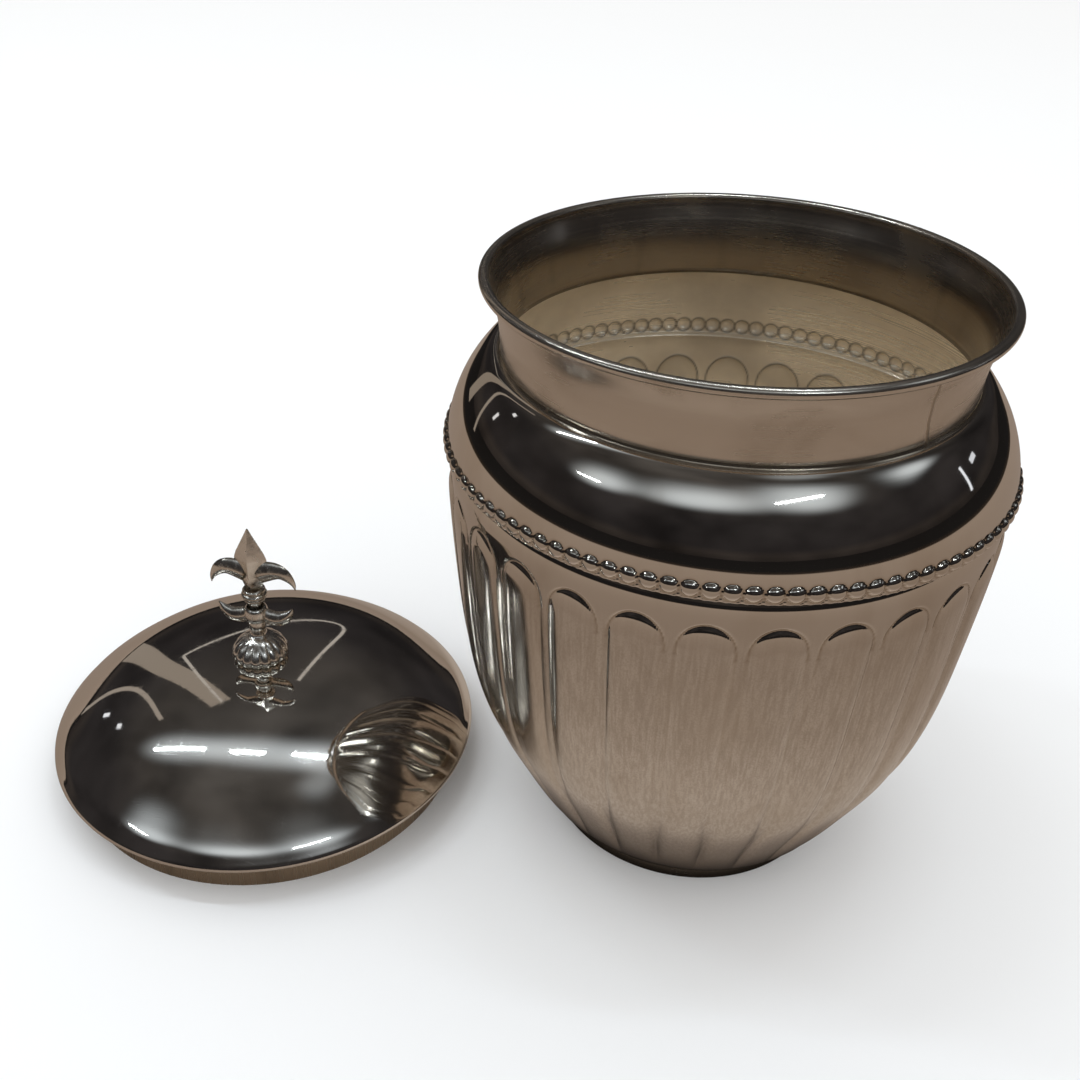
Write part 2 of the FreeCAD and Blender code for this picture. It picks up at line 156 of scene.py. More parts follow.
LEAF_RIDGE, PETAL_RIDGE = 1.5, 1.35  # 2 is round, 1 has flat faces and a sharp ridge
BLADE_AROUND = 24
BLADE_STEP = 0.5
BLADE_SMOOTHING = 5
FINIAL_TURN = 2.0  # degrees, of the fleur-de-lis about its axis

# ---- frame
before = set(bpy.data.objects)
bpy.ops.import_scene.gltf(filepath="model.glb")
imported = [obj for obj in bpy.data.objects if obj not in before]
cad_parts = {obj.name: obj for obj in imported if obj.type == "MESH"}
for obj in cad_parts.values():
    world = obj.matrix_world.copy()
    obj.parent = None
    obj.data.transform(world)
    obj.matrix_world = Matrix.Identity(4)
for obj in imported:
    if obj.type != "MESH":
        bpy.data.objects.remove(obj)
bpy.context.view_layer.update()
dome_low, dome_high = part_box("lid_dome")
LID_AXIS = (dome_low + dome_high) / 2
LID_AXIS.z = 0.0
JAR_AXIS = Vector((0, 0, 0))
AXES = {"jar": JAR_AXIS, "lid": LID_AXIS}


# ---- curves
def spline(points, start=None, end=None, step=1.0):
    """Places along the smooth curve through points, about a step apart."""
    p = np.array(points, float)
    h = np.linalg.norm(np.diff(p, axis=0), axis=1)
    knots = np.concatenate([[0], np.cumsum(h)])
    d = np.diff(p, axis=0) / h[:, None]
    n = len(p)
    a = np.zeros((n, n))
    b = np.zeros((n, 2))
    for i in range(1, n - 1):
        a[i, i - 1:i + 2] = h[i], 2 * (h[i - 1] + h[i]), h[i - 1]
        b[i] = 3 * (h[i] * d[i - 1] + h[i - 1] * d[i])
    if start is None:
        a[0, :2], b[0] = (2, 1), 3 * d[0]
    else:
        a[0, 0], b[0] = 1, np.array(start) / np.hypot(*start)
    if end is None:
        a[-1, -2:], b[-1] = (1, 2), 3 * d[-1]
    else:
        a[-1, -1], b[-1] = 1, np.array(end) / np.hypot(*end)
    slope = np.linalg.solve(a, b)
    t = np.linspace(0, knots[-1], max(2, int(round(knots[-1] / step)) + 1))
    i = np.clip(np.searchsorted(knots, t, side="right") - 1, 0, n - 2)
    s = ((t - knots[i]) / h[i])[:, None]
    hh = h[i][:, None]
    return ((2 * s**3 - 3 * s**2 + 1) * p[i] + (s**3 - 2 * s**2 + s) * hh * slope[i]
            + (3 * s**2 - 2 * s**3) * p[i + 1] + (s**3 - s**2) * hh * slope[i + 1])


def normals_of(path):
    """The left-hand normal at each place of a path."""
    along = np.gradient(path, axis=0)
    along /= np.linalg.norm(along, axis=1)[:, None]
    return np.stack([-along[:, 1], along[:, 0]], axis=1)


def arc(middle, radius, start, end, count):
    """Places on an arc, angles in degrees."""
    t = np.radians(np.linspace(start, end, count))
    return np.stack([middle[0] + radius * np.cos(t), middle[1] + radius * np.sin(t)], axis=1)


def rounded(corners, radius, count=5):
    """A closed outline with its corners rounded off."""
    out = []
    c = np.array(corners, float)
    for before, corner, after in zip(np.roll(c, 1, 0), c, np.roll(c, -1, 0)):
        u = (before - corner) / np.linalg.norm(before - corner)
        v = (after - corner) / np.linalg.norm(after - corner)
        for s in np.linspace(0, 1, count):
            out.append(corner + radius * ((1 - s) ** 2 * u + s ** 2 * v))
    return np.array(out)


def smoothstep(low, high, value):
    """0 at low, 1 at high and smooth between them."""
    t = np.clip((value - low) / (high - low), 0, 1)
    return t * t * (3 - 2 * t)


# ---- meshes
def make_object(name, points, faces, body, nodes, materials, face_material=None, sharp=None):
    """A piece from points in millimetres round its body's axis and quads or triangles, riding on it."""
    mesh = bpy.data.meshes.new(name)
    mesh.from_pydata([], [], [])
    points = np.asarray(points, float) * MM + np.array(AXES[body])
    faces = np.asarray(faces, np.int32)
    mesh.vertices.add(len(points))
    mesh.vertices.foreach_set("co", points.ravel())
    mesh.loops.add(faces.size)
    mesh.loops.foreach_set("vertex_index", faces.ravel())
    mesh.polygons.add(len(faces))
    mesh.polygons.foreach_set("loop_start", np.arange(0, faces.size, faces.shape[1], dtype=np.int32))
    for material in materials:
        mesh.materials.append(material)
    if face_material is not None:
        mesh.polygons.foreach_set("material_index", np.asarray(face_material, np.int32))
    mesh.update(calc_edges=True)
    mesh.validate()
    mesh.shade_smooth()
    if sharp is not None:
        mesh.set_sharp_from_angle(angle=math.radians(sharp))
    piece = bpy.data.objects.new(name, mesh)
    bpy.context.collection.objects.link(piece)
    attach(piece, body)
    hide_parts(*nodes)
    return piece


def grid_faces(rows, columns, closed_up):
    """Quads of a grid whose columns close round the axis, and whose rows may close too."""
    r = np.arange(rows if closed_up else rows - 1)[:, None]
    c = np.arange(columns)[None, :]
    r2, c2 = (r + 1) % rows, (c + 1) % columns
    quads = np.stack([r * columns + c, r * columns + c2, r2 * columns + c2, r2 * columns + c], axis=-1)
    return quads.reshape(-1, 4)


def turn(section, angles, radius_change=None):
    """Points of a section turned about its axis. radius_change() adds to the radii."""
    r = np.repeat(section[:, :1], len(angles), axis=1)
    if radius_change is not None:
        r = r + radius_change(angles[None, :], section[:, :1], section[:, 1:])
    z = np.repeat(section[:, 1:], len(angles), axis=1)
    return np.stack([r * np.cos(angles), r * np.sin(angles), z], axis=-1).reshape(-1, 3)


def lathe(name, section, body, nodes, materials, segments, lift=0.0, change=None, sharp=None,
          inside=None):
    """A closed section turned round its axis. inside(section) picks the rows of the second material."""
    section = np.asarray(section, float) + np.array([0, lift])
    area = np.sum(section[:, 0] * np.roll(section[:, 1], -1) - np.roll(section[:, 0], -1) * section[:, 1])
    if area < 0:
        section = section[::-1]
    angles = np.linspace(0, 2 * np.pi, segments, endpoint=False)
    points = turn(section, angles, change)
    faces = grid_faces(len(section), segments, True)[:, ::-1]
    face_material = None
    if inside is not None:
        face_material = np.repeat(inside(section).astype(np.int32), segments)
    make_object(name, points, faces, body, nodes, materials, face_material, sharp)


def blade(spine, half_widths, half_depths, ridge):
    """Points and faces of a curved blade: lens-shaped sections along a spine in the XZ plane."""
    around = BLADE_AROUND
    path = spline(spine, step=BLADE_STEP)
    knots = np.linspace(0, 1, len(spine))
    places = np.linspace(0, 1, len(path))
    widths = np.interp(places, knots, half_widths)
    depths = np.interp(places, knots, half_depths)
    kernel = np.ones(BLADE_SMOOTHING) / BLADE_SMOOTHING
    ends = BLADE_SMOOTHING // 2
    widths[ends:-ends] = np.convolve(widths, kernel, "valid")
    depths[ends:-ends] = np.convolve(depths, kernel, "valid")
    across = normals_of(path)
    t = np.linspace(0, 2 * np.pi, around, endpoint=False)
    side = np.sign(np.cos(t)) * np.abs(np.cos(t)) ** (2 / ridge)
    front = np.sign(np.sin(t)) * np.abs(np.sin(t)) ** (2 / ridge)
    rings = []
    for (x, z), (nx, nz), w, d in zip(path, across, widths, depths):
        rings.append(np.stack([x + nx * side * w, front * d, z + nz * side * w], axis=1))
    points = np.concatenate(rings)
    faces = list(grid_faces(len(rings), around, False))
    caps = [(len(points), 0), (len(points) + 1, len(rings) - 1)]
    points = np.concatenate([points, rings[0].mean(0)[None], rings[-1].mean(0)[None]])
    for middle, row in caps:
        for k in range(around):
            a, b = row * around + k, row * around + (k + 1) % around
            faces.append([middle, a, b, middle] if row else [middle, b, a, middle])
    return points, np.array([list(f) for f in faces])


def mirrored(points, faces):
    """A blade and its mirror image across the axis, as one set."""
    other = points * np.array([-1, 1, 1])
    return np.concatenate([points, other]), np.concatenate([faces, faces[:, ::-1] + len(points)])


def turned_points(points):
    """Points of a finial piece turned to the fleur-de-lis's own plane and set on the dome."""
    a = math.radians(FINIAL_TURN)
    x, y, z = points.T
    turned = (x * math.cos(a) - y * math.sin(a), x * math.sin(a) + y * math.cos(a), z + DOME_APEX)
    return np.stack(turned, axis=1)


def triangles(faces):
    """Quads and folded quads as triangles, without the empty ones."""
    out = []
    for a, b, c, d in faces:
        out.append((a, b, c))
        if d != a and d != c:
            out.append((a, c, d))
    return np.array(out)


# ---- materials
def node(tree, kind, **settings):
    made = tree.nodes.new(kind)
    for key, value in settings.items():
        setattr(made, key, value)
    return made


def join(tree, *pairs):
    for output, socket in pairs:
        tree.links.new(output, socket)


def set_range(ranged, limits):
    """From Min, From Max, To Min and To Max of a Map Range node."""
    for key, number in zip(("From Min", "From Max", "To Min", "To Max"), limits):
        ranged.inputs[key].default_value = number


class Metal:
    """A plated metal built up from object-space patterns, so that it goes with its body."""

    def __init__(self, name, colour, roughness, axis=JAR_AXIS):
        self.material = bpy.data.materials.new(name)
        self.material.use_nodes = True
        self.tree = self.material.node_tree
        self.shader = self.tree.nodes["Principled BSDF"]
        self.shader.inputs["Metallic"].default_value = 1.0
        coordinates = node(self.tree, "ShaderNodeTexCoord")
        place = node(self.tree, "ShaderNodeMapping")
        place.inputs["Location"].default_value = (-axis.x, -axis.y, 0)
        self.link(coordinates.outputs["Object"], place.inputs["Vector"])
        self.place = place.outputs["Vector"]
        self.colour = node(self.tree, "ShaderNodeRGB").outputs[0]
        self.colour.default_value = (*colour, 1)
        self.roughness = node(self.tree, "ShaderNodeValue").outputs[0]
        self.roughness.default_value = roughness
        self.normal = None

    def link(self, a, b):
        self.tree.links.new(a, b)

    def math(self, operation, a, b=None, clamp=False):
        made = node(self.tree, "ShaderNodeMath", operation=operation, use_clamp=clamp)
        for socket, value in zip(made.inputs, (a, b)):
            if value is None:
                continue
            if isinstance(value, (int, float)):
                socket.default_value = value
            else:
                self.link(value, socket)
        return made.outputs[0]

    def noise(self, scale, stretch=(1, 1, 1), detail=3.0, at=None, distortion=0.0, seed=0.0):
        """A pattern from 0 to 1 with features of about 1/scale metres, squeezed by stretch."""
        mapping = node(self.tree, "ShaderNodeMapping")
        mapping.inputs["Scale"].default_value = tuple(s * scale for s in stretch)
        mapping.inputs["Location"].default_value = (seed, seed * 0.7, seed * 1.3)
        self.link(at or self.place, mapping.inputs["Vector"])
        made = node(self.tree, "ShaderNodeTexNoise")
        made.inputs["Scale"].default_value = 1.0
        made.inputs["Detail"].default_value = detail
        made.inputs["Distortion"].default_value = distortion
        self.link(mapping.outputs["Vector"], made.inputs["Vector"])
        return made.outputs["Fac"]

    def span(self, value, low, high):
        """0 where value is low, 1 where it is high, smooth between them and held beyond."""
        made = node(self.tree, "ShaderNodeMapRange", interpolation_type="SMOOTHSTEP")
        self.link(value, made.inputs["Value"])
        set_range(made, (low, high, 0.0, 1.0))
        return made.outputs["Result"]

    def position(self):
        """x, y and height from the axis, in metres."""
        split = node(self.tree, "ShaderNodeSeparateXYZ")
        self.link(self.place, split.inputs[0])
        return split.outputs

    def vector(self, x, y, z):
        made = node(self.tree, "ShaderNodeCombineXYZ")
        for socket, value in zip(made.inputs, (x, y, z)):
            self.link(value, socket)
        return made.outputs[0]

    def tint(self, factor, colour, amount):
        """Mixes a colour in where factor is high."""
        made = node(self.tree, "ShaderNodeMix", data_type="RGBA")
        self.link(self.math("MULTIPLY", factor, amount), made.inputs["Factor"])
        self.link(self.colour, made.inputs["A"])
        made.inputs["B"].default_value = (*colour, 1)
        self.colour = made.outputs["Result"]

    def rough(self, factor, amount):
        """Adds to the roughness where factor is high."""
        self.roughness = self.math("ADD", self.roughness, self.math("MULTIPLY", factor, amount), clamp=True)

    def bump(self, height, depth):
        """Fine relief, depth in metres."""
        made = node(self.tree, "ShaderNodeBump")
        made.inputs["Strength"].default_value = 1.0
        made.inputs["Distance"].default_value = depth
        self.link(height, made.inputs["Height"])
        if self.normal is not None:
            self.link(self.normal, made.inputs["Normal"])
        self.normal = made.outputs["Normal"]

    def attribute(self, name):
        made = node(self.tree, "ShaderNodeAttribute", attribute_name=name)
        return made.outputs["Fac"]

    def done(self):
        self.link(self.colour, self.shader.inputs["Base Color"])
        self.link(self.roughness, self.shader.inputs["Roughness"])
        if self.normal is not None:
            self.link(self.normal, self.shader.inputs["Normal"])
        return self.material


PLATE = (0.74, 0.69, 0.615)
WORN = (0.50, 0.44, 0.37)
TARNISH = (0.42, 0.34, 0.25)
DARK_TARNISH = (0.10, 0.085, 0.07)
SATIN_HEIGHT = (0.176, 0.150)  # mirror polish above, fine satin below, in metres
FOOT_SHADE = (0.045, 0.008)  # the wall darkens between these heights
BRUSHING = 450.0  # how much finer the marks brushed round a piece are across than along
SEAM_ANGLE = math.radians(-43.0)
SEAM = (-math.sin(SEAM_ANGLE), math.cos(SEAM_ANGLE))
SEAM_LEAN = 0.24  # sideways for each unit up
SEAM_WAVE = 0.003
SEAM_EDGE = (0.0011, 0.0002)  # half its width, and where it is darkest
SEAM_END = (0.254, 0.250)  # it fades out under the rim


def embossed_outside():
    """Mirror polish on the shoulder and beads, worn satin with an upright grain on the gadroons."""
    metal = Metal("embossed_plate", PLATE, 0.04)
    _, _, z = metal.position()
    satin = metal.span(z, *SATIN_HEIGHT)
    blotches = metal.noise(20, (1, 1, 0.6), detail=5)
    metal.rough(satin, 0.07)
    metal.rough(metal.math("MULTIPLY", metal.span(blotches, 0.35, 0.7), satin), 0.05)
    grain = metal.noise(900, (1, 1, 0.02), detail=3)
    speckle = metal.noise(1500, detail=2, seed=2.0)
    metal.rough(metal.math("MULTIPLY", metal.span(grain, 0.4, 0.65), satin), 0.08)
    metal.bump(metal.math("MULTIPLY", grain, satin), 0.000012)
    metal.bump(metal.math("MULTIPLY", speckle, satin), 0.000006)
    worn = metal.math("MULTIPLY", metal.span(grain, 0.35, 0.65), satin)
    metal.tint(worn, WORN, 0.55)
    metal.tint(metal.math("MULTIPLY", metal.span(speckle, 0.45, 0.6), satin), WORN, 0.45)
    dents = metal.noise(38, detail=1, seed=5.0)
    metal.bump(dents, 0.00006)
    metal.tint(metal.span(blotches, 0.48, 0.72), (0.60, 0.53, 0.44), 0.55)
    stains = metal.noise(45, (1, 1, 0.25), detail=4, seed=9.0)
    metal.tint(metal.span(stains, 0.55, 0.75), TARNISH, 0.22)
    metal.tint(metal.attribute("recess"), TARNISH, 0.75)
    # painted shade: the wall's colour darkens towards the foot, between FOOT_SHADE's heights
    metal.tint(metal.span(z, *FOOT_SHADE), (0.42, 0.37, 0.31), 0.55)
    return metal.done()


def embossed_inside():
    """Unpolished, marked in rings, with tarnish in the hollows. Its base colour is lighter than the outside
    plate's: painted light on the inside wall.
    """
    # painted light: base colour lighter than the outside plate's
    metal = Metal("jar_inside", (0.96, 0.85, 0.67), 0.24)
    metal.shader.inputs["Metallic"].default_value = 0.5
    rings = metal.noise(3, (1, 1, 250), detail=3)
    metal.rough(metal.span(rings, 0.4, 0.65), 0.12)
    metal.bump(rings, 0.00002)
    clouds = metal.noise(16, detail=5)
    metal.tint(metal.span(clouds, 0.42, 0.7), TARNISH, 0.55)
    metal.tint(metal.attribute("recess"), DARK_TARNISH, 0.8)
    metal.rough(metal.span(clouds, 0.4, 0.7), 0.1)
    return metal.done()


def brushed_round(name, colour, roughness, blotch):
    """Satin metal of the jar, brushed round its axis, with soft blotches."""
    metal = Metal(name, colour, roughness)
    rings = metal.noise(2.0, (1, 1, BRUSHING), detail=3)
    fine = metal.noise(12.0, (1, 1, BRUSHING), detail=2, seed=4.0)
    metal.rough(metal.span(rings, 0.38, 0.66), 0.06)
    metal.bump(rings, 0.000004)
    metal.bump(fine, 0.000002)
    clouds = metal.noise(26, (1, 1, 1.6), detail=5, distortion=0.6)
    metal.tint(metal.span(clouds, 0.45, 0.72), TARNISH, blotch)
    metal.rough(metal.span(clouds, 0.4, 0.7), 0.08)
    return metal


def neck_outside():
    """Brushed, with the brazed seam up the front: a slightly wavy, leaning line of darker solder."""
    metal = brushed_round("neck_satin", (0.72, 0.655, 0.565), 0.17, 0.4)
    x, y, z = metal.position()
    wave = metal.noise(60, (0, 0, 1), detail=2, seed=8.0)
    wave = metal.math("MULTIPLY", metal.math("SUBTRACT", wave, 0.5), SEAM_WAVE)
    across = metal.math("ADD", metal.math("MULTIPLY", x, SEAM[0]), metal.math("MULTIPLY", y, SEAM[1]))
    front = metal.math("ADD", metal.math("MULTIPLY", x, SEAM[1]), metal.math("MULTIPLY", y, -SEAM[0]))
    lean = metal.math("MULTIPLY", metal.math("SUBTRACT", z, NECK_JOINT * MM), SEAM_LEAN)
    across = metal.math("ADD", metal.math("ADD", across, wave), lean)
    line = metal.span(metal.math("ABSOLUTE", across), *SEAM_EDGE)
    line = metal.math("MULTIPLY", line, metal.span(front, 0.0, 0.01))
    line = metal.math("MULTIPLY", line, metal.span(z, *SEAM_END))
    metal.tint(line, TARNISH, 0.8)
    metal.rough(line, 0.15)
    metal.bump(line, 0.00012)
    return metal.done()


def neck_inside():
    """Darker, brushed round, with faint upright streaks; the darker base colour is painted shade inside the
    neck.
    """
    # painted shade: base colour about half the outside neck's
    metal = brushed_round("neck_inside_satin", (0.36, 0.31, 0.255), 0.2, 0.6)
    streaks = metal.noise(70, (1, 1, 0.08), detail=3, seed=6.0)
    metal.tint(metal.span(streaks, 0.55, 0.75), DARK_TARNISH, 0.35)
    return metal.done()


def polished_dome():
    """Mirror polish with faint turning rings, soft smears and fine crossing scratches."""
    metal = Metal("dome_polish", (0.76, 0.72, 0.655), 0.035, LID_AXIS)
    metal.bump(metal.noise(30, detail=1, seed=2.0), 0.000012)
    clouds = metal.noise(18, detail=4, seed=3.0)
    metal.tint(metal.span(clouds, 0.5, 0.75), (0.66, 0.6, 0.52), 0.5)
    x, y, _ = metal.position()
    square = metal.math("ADD", metal.math("MULTIPLY", x, x), metal.math("MULTIPLY", y, y))
    outward = metal.math("MULTIPLY", metal.math("SQRT", square), 1400.0)
    rings = metal.noise(1.0, detail=2, at=metal.vector(outward, x, y))
    metal.rough(metal.span(rings, 0.55, 0.75), 0.03)
    metal.bump(rings, 0.0000012)
    smears = metal.noise(28, detail=4, distortion=1.2)
    metal.rough(metal.span(smears, 0.45, 0.75), 0.03)
    for seed, stretch in ((3.0, (1, 14, 3)), (7.0, (11, 1, 4))):
        scratches = metal.span(metal.noise(95, stretch, detail=1, seed=seed), 0.62, 0.74)
        metal.rough(scratches, 0.042)
        metal.bump(scratches, 0.000001)
    return metal.done()


def brushed_flange():
    """Satin with short upright streaks and tarnish."""
    metal = Metal("flange_satin", (0.55, 0.48, 0.38), 0.2, LID_AXIS)
    streaks = metal.noise(420, (1, 1, 0.03), detail=3)
    metal.rough(metal.span(streaks, 0.4, 0.65), 0.18)
    metal.bump(streaks, 0.00002)
    metal.tint(metal.span(streaks, 0.45, 0.75), TARNISH, 0.6)
    stains = metal.noise(60, (1, 1, 0.4), detail=4, seed=1.0)
    metal.tint(metal.span(stains, 0.5, 0.75), DARK_TARNISH, 0.5)
    return metal.done()


def cast():
    """Cast metal, polished on its crests and darker where polish does not reach."""
    metal = Metal("cast_plate", (0.80, 0.76, 0.69), 0.17, LID_AXIS)
    skin = metal.noise(420, detail=3)
    metal.bump(skin, 0.00005)
    metal.rough(metal.span(skin, 0.4, 0.7), 0.12)
    geometry = node(metal.tree, "ShaderNodeNewGeometry")
    metal.tint(metal.span(geometry.outputs["Pointiness"], 0.5, 0.44), TARNISH, 0.8)
    stains = metal.noise(160, detail=3, seed=4.0)
    metal.tint(metal.span(stains, 0.5, 0.75), (0.55, 0.49, 0.4), 0.5)
    return metal.done()


def dull(name, colour, roughness, axis):
    """Unpolished plate on the hidden pieces."""
    metal = Metal(name, colour, roughness, axis)
    clouds = metal.noise(70, detail=5)
    metal.tint(metal.span(clouds, 0.4, 0.7), TARNISH, 0.6)
    metal.rough(metal.span(clouds, 0.35, 0.7), 0.2)
    metal.bump(metal.noise(900, detail=2), 0.00002)
    return metal.done()


# ---- jar
def wall_relief(angle, height):
    """(how far the wall stands out of its plain curve, how sheltered it is), angle in degrees."""
    pitch = 360.0 / PANEL_COUNT
    off = np.abs((angle - PANEL_PHASE + pitch / 2) % pitch - pitch / 2)
    half = PANEL_HALF_LOW + (PANEL_HALF - PANEL_HALF_LOW) * smoothstep(*PANEL_WIDENING, height)
    up = np.maximum(0, height - ARCH_SPRING) / (ARCH_CROWN - ARCH_SPRING)
    edge = np.sqrt((off / half) ** 2 + up ** 2)  # 1 on the panel's outline
    half_mm = np.radians(PANEL_HALF) * WALL_RADIUS
    fade = smoothstep(*PANEL_FADE, height)
    panel = PANEL_RISE * (1 - np.minimum(edge, 1) ** PANEL_EDGE)
    outside = (edge - 1) * half_mm
    groove = np.exp(-((outside - GROOVE_PLACE) / GROOVE_WIDTH) ** 2)
    groove = groove * smoothstep(*GROOVE_FADE, height)
    step_foot = STRIP_TOP - STRIP_STEP[0]
    strip = smoothstep(step_foot, STRIP_TOP + STRIP_STEP[1], height)
    cove = COVE_DEPTH * np.clip((height - COVE_FOOT) / (step_foot - COVE_FOOT), 0, 1) ** 2
    head_foot = ARCH_SPRING - HEAD_FOOT
    head = smoothstep(head_foot - HEAD_FADE, head_foot, height)
    depth = GROOVE_DEPTH + GROOVE_HEAD * head
    low = (-PANEL_DROP + panel - depth * groove) * fade - cove
    relief = low * (1 - strip)

    bead_pitch = 360.0 / BEAD_COUNT
    along = ((angle + bead_pitch / 2) % bead_pitch - bead_pitch / 2) * np.radians(1) * WALL_RADIUS
    rise = height - BEAD_HEIGHT
    bead = np.sqrt(np.maximum(0, 1 - (along / BEAD_HALF[0]) ** 2 - (rise / BEAD_HALF[1]) ** 2))
    half_pitch = np.radians(bead_pitch / 2) * WALL_RADIUS
    tick = np.exp(-((np.abs(along) - half_pitch) / TICK_HALF[0]) ** 2 - (rise / TICK_HALF[1]) ** 2)
    far = np.hypot(along, rise)
    scallop = np.exp(-((far - SCALLOP_RADIUS) / SCALLOP_WIDTH) ** 2)
    scallop = scallop * (1 - smoothstep(*SCALLOP_END, rise)) * strip
    relief = relief + BEAD_RISE * bead + TICK_RISE * tick + SCALLOP_RISE * scallop
    near_bead = np.exp(-((far - BEAD_HALF[0] - SHADE_GAP) / SHADE_WIDTH) ** 2)
    near_bead = near_bead * (np.abs(rise) < BEAD_HALF[1] + 1)
    shaded_groove = (GROOVE_SHADE + HEAD_SHADE * head) * groove * (1 - strip)
    recess = np.clip(shaded_groove + BEAD_SHADE * near_bead * (1 - bead), 0, 1)
    return relief, recess


def make_wall():
    """The embossed sheet: an outer and an inner skin with the same relief, closed at both edges."""
    lower = spline(WALL_POINTS, WALL_START, (0, 1), 0.05)
    upper = spline(SHOULDER_POINTS, (0, 1), SHOULDER_END, 0.05)
    curve = np.concatenate([lower, upper[1:]])
    normals = -normals_of(curve)
    length = np.concatenate([[0], np.cumsum(np.linalg.norm(np.diff(curve, axis=0), axis=1))])

    def rows(head_step, bead_step):
        """Places on the curve: close together at the round heads and closest at the beads."""
        steps = np.zeros(len(curve))
        fine = [(HEAD_ROWS_FROM, head_step), (BEAD_ROWS_FROM, bead_step)]
        for above, step in PLAIN_ROWS + fine + [SHOULDER_ROWS]:
            steps = np.where(curve[:, 1] > above, step, steps)
        picked, done = [0], 0.0
        for k in range(1, len(curve)):
            if length[k] - done >= steps[k]:
                picked.append(k)
                done = length[k]
        picked[-1] = len(curve) - 1
        return np.array(picked)

    def skin(picked, columns, depth):
        angles = np.linspace(0, 2 * np.pi, columns, endpoint=False)
        relief, recess = wall_relief(np.degrees(angles)[None, :], curve[picked, 1][:, None])
        out = relief - depth
        r = curve[picked, 0][:, None] + normals[picked, 0][:, None] * out
        z = curve[picked, 1][:, None] + normals[picked, 1][:, None] * out
        return np.stack([r * np.cos(angles), r * np.sin(angles), z], axis=-1).reshape(-1, 3), recess.ravel()

    columns = PANEL_COUNT * PANEL_COLUMNS
    outer_rows = rows(*OUTER_ROWS)
    inner_rows = rows(*INNER_ROWS)
    outer, outer_recess = skin(outer_rows, columns, 0.0)
    inner, inner_recess = skin(inner_rows, columns, SHEET)
    outer_faces = grid_faces(len(outer_rows), columns, False)
    inner_faces = grid_faces(len(inner_rows), columns, False)[:, ::-1] + len(outer)

    def edge(outer_row, inner_row, flip):
        """The sheet's thickness between one outer row and one inner row."""
        here = np.arange(columns)
        after = (here + 1) % columns
        a, b = outer_row * columns + here, outer_row * columns + after
        d, e = (len(outer) + inner_row * columns + place for place in (here, after))
        made = np.concatenate([np.stack([a, b, d], axis=1), np.stack([b, e, d], axis=1)])
        return made[:, ::-1] if flip else made

    edges = np.concatenate([edge(0, 0, True), edge(len(outer_rows) - 1, len(inner_rows) - 1, False)])
    split = []
    for quads in (outer_faces, inner_faces):
        split.append(np.concatenate([quads[:, [0, 1, 2]], quads[:, [0, 2, 3]]]))
    faces = np.concatenate(split + [edges])
    material = np.repeat([0, 1, 0], [len(split[0]), len(split[1]), len(edges)])
    wall = make_object("embossed_wall", np.concatenate([outer, inner]), faces, "jar",
                       ["body_wall"], [embossed_outside(), embossed_inside()], material)
    shelter = wall.data.attributes.new("recess", "FLOAT", "POINT")
    shelter.data.foreach_set("value", np.concatenate([outer_recess, inner_recess]).astype(np.float32))


def make_neck():
    """The neck strip with its skirt in the shoulder's hole and its top edge rolled outwards."""
    skirt = NECK_HOLE - FIT_GAP - SHEET
    middle = (RIM_RADIUS - CURL_RADIUS, RIM_TOP - CURL_RADIUS)
    inner_curl = CURL_RADIUS - SHEET
    top = (middle[0] - CURL_RADIUS, middle[1])
    inside = spline([(skirt, NECK_FLARE_START)] + NECK_INSIDE + [top], (0, 1), (0.1, 1), 0.8)
    outside = spline([(skirt + SHEET, NECK_FLARE_START)] + NECK_OUTSIDE + [(top[0] + SHEET, top[1])],
                     (0, 1), (0.1, 1), 0.8)
    foot = NECK_JOINT - NECK_SKIRT
    over = arc(middle, CURL_RADIUS, 180, CURL_END - 360, 40)
    under = arc(middle, inner_curl, CURL_END - 360, 180, 24)
    section = np.concatenate([[(skirt, foot)], inside, over[1:], under, outside[::-1][1:],
                              [(skirt + SHEET, foot)]])

    def is_inside(places):
        radii, after = places[:, 0], np.roll(places[:, 0], -1)
        outer = np.interp(places[:, 1], outside[:, 1], outside[:, 0])
        return (radii < NECK_INSIDE_REACH) & (after < NECK_INSIDE_REACH) & (radii < outer - 0.3)

    lathe("neck_strip", section, "jar", ["neck_collar"],
          [neck_outside(), neck_inside()], 720, inside=is_inside)


def make_foot():
    """The foot band with the ledge that carries the floor."""
    inner = FOOT_RADIUS - FOOT_BAND
    ledge = FOOT_HEIGHT - 2 * SHEET
    section = rounded([(inner, 0), (FOOT_RADIUS, 0), (FOOT_RADIUS, FOOT_HEIGHT), (inner, FOOT_HEIGHT),
                       (inner, ledge), (inner - FOOT_LIP, ledge), (inner - FOOT_LIP, ledge - SHEET),
                       (inner, ledge - SHEET)], 0.3)
    metal = brushed_round("foot_satin", (0.5, 0.45, 0.38), 0.2, 0.6)
    lathe("foot_band", section, "jar", ["foot_ring"], [metal.done()], 360)


# ---- lid
def make_dome():
    """The dome's sheet with its rounded edge and the brim that turns in to the flange."""
    outline = spline(DOME_POINTS, (1, 0), (-1, 0), 0.8)
    inner = outline + normals_of(outline) * -SHEET
    brim = FLANGE_RADIUS + FIT_GAP
    section = np.concatenate([outline, [(brim, outline[-1, 1]), (brim, inner[-1, 1])], inner[::-1]])
    under = dull("dome_underside", (0.5, 0.44, 0.36), 0.28, LID_AXIS)
    top = outline[:np.argmax(outline[:, 0])]

    def is_inside(places):
        below = places[:, 1] < np.interp(places[:, 0], top[:, 0], top[:, 1]) - SHEET / 2
        return below & (places[:, 0] < DOME_RADIUS - DOME_EDGE)

    lathe("lid_dome_polished", section, "lid", ["lid_dome"],
          [polished_dome(), under], 720, inside=is_inside)


